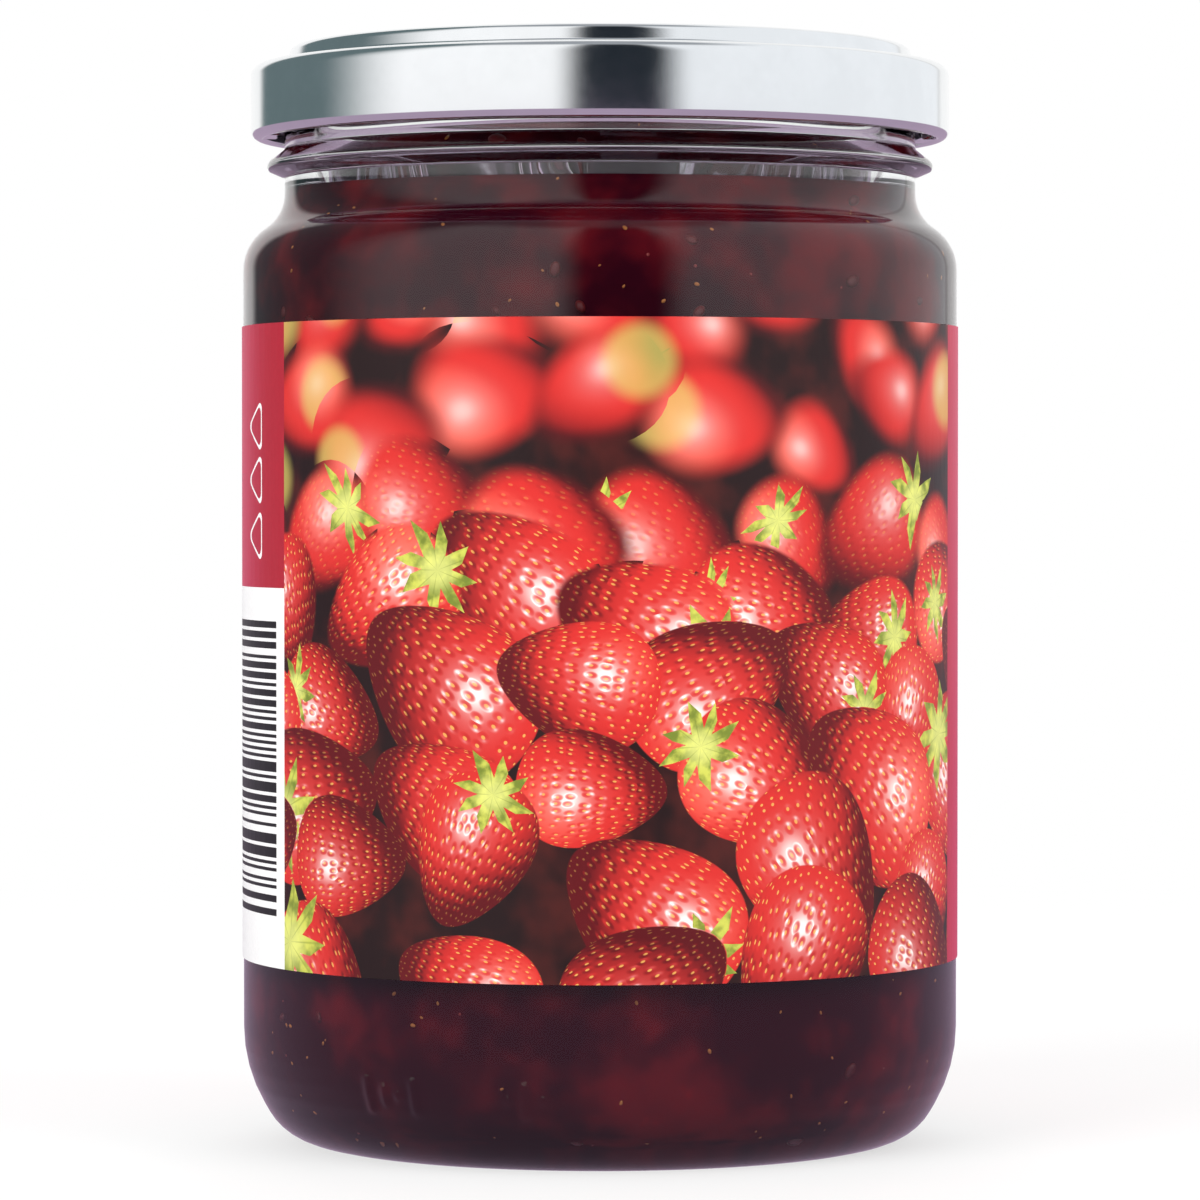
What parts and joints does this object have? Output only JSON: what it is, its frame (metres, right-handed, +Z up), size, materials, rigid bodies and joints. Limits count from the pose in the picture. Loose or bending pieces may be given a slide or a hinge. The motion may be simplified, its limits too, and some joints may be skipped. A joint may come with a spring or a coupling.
{
  "type": "jam jar",
  "caption": "Glass jar of strawberry jam with a pressed metal twist-off lid and a wrap-round paper label.",
  "frame": {"origin": "centre of the base, on the plane that the jar stands on", "axes": "+Z up along the jar's axis, -Y towards the front of the label"},
  "size_m": [0.0708, 0.0709, 0.1079],
  "materials": {
    "glass": "clear, smooth",
    "jam": "dark red jelly, wet",
    "lid_metal": "lacquered tinplate, satin",
    "label_paper": "printed coated paper",
    "label_white": "unprinted coated paper"
  },
  "bodies": {
    "root": {"glass_jar": "glass", "jam": "jam", "lid": "lid_metal", "label": "label_paper"}
  },
  "joints": []
}
